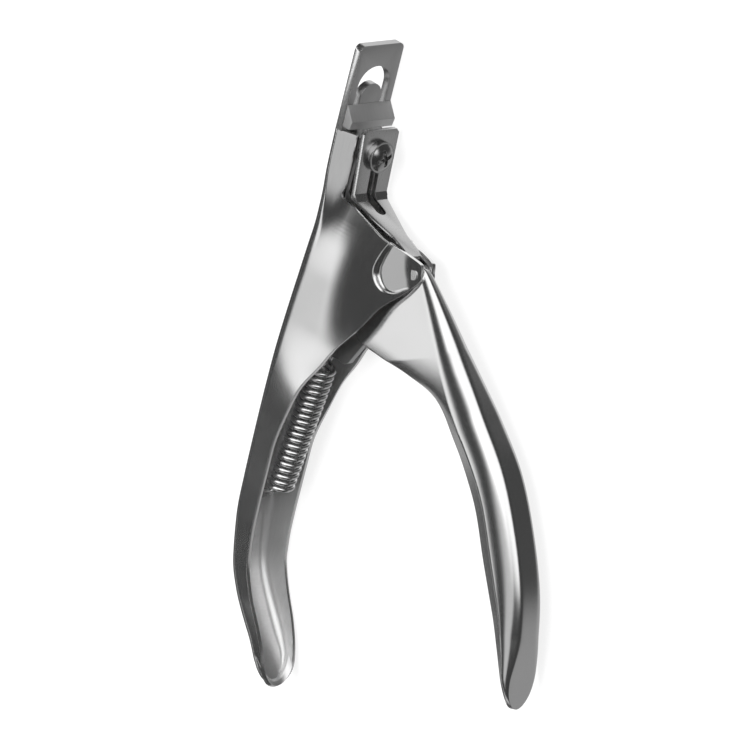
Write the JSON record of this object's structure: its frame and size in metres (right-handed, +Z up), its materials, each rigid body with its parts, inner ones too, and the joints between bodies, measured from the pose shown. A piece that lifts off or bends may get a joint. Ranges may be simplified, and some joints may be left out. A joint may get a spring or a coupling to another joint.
{
  "type": "nail tip cutter",
  "caption": "Steel nail tip cutter: channel handle, stamped lever, slotted head plate and a sliding blade worked by a sprung lever.",
  "frame": {"origin": "on the lower side face of the head plate, level with the nail slot, where the tool rests when it lies on its side", "axes": "+X across the tool from the main handle to the lever, +Y along the tool from the grip ends to the head, +Z up from the side it lies on"},
  "size_m": [0.0771, 0.1232, 0.0109],
  "materials": {
    "brushed_sheet": "satin brushed along the grip",
    "satin_plate": "fine satin",
    "turned_steel": "turned, semi-bright",
    "bright_screw": "bright",
    "ground_blade": "ground, lines across the edge",
    "spring_wire": "drawn bright wire"
  },
  "bodies": {
    "main": {"main_handle": "brushed_sheet", "head_plate": "satin_plate", "plate_rivets": "turned_steel", "cover_strap": "satin_plate", "strap_screw": "bright_screw", "screw_sleeve": "turned_steel", "rivet_nut": "turned_steel", "pivot_pin": "turned_steel", "spring_anchor": "turned_steel", "return_spring": "spring_wire"},
    "lever": {"lever_handle": "brushed_sheet", "drive_arm": "satin_plate", "arm_rivets": "turned_steel", "spring_tab": "satin_plate", "tab_rivets": "turned_steel", "drive_pin": "turned_steel", "drive_rollers": "turned_steel"},
    "cutter": {"blade": "ground_blade", "blade_carrier": "satin_plate", "blade_rivets": "turned_steel"}
  },
  "joints": [
    {"name": "lever_squeeze", "type": "hinge", "parent": "main", "child": "lever", "pos_m": [0.0237, -0.0273, 0.00545], "axis": [0, 0, -1], "range_deg": [0, 19.2], "stiffness_Nm_per_rad": 0.3, "springref_deg": -22.92, "deforming": ["return_spring"]},
    {"name": "blade_slide", "type": "slide", "parent": "main", "child": "cutter", "axis": [0, 1, 0], "range_m": [0, 0.00725]}
  ],
  "couplings": [
    {"joint": "blade_slide", "follows": "lever_squeeze", "m_per_rad": 0.0215}
  ]
}
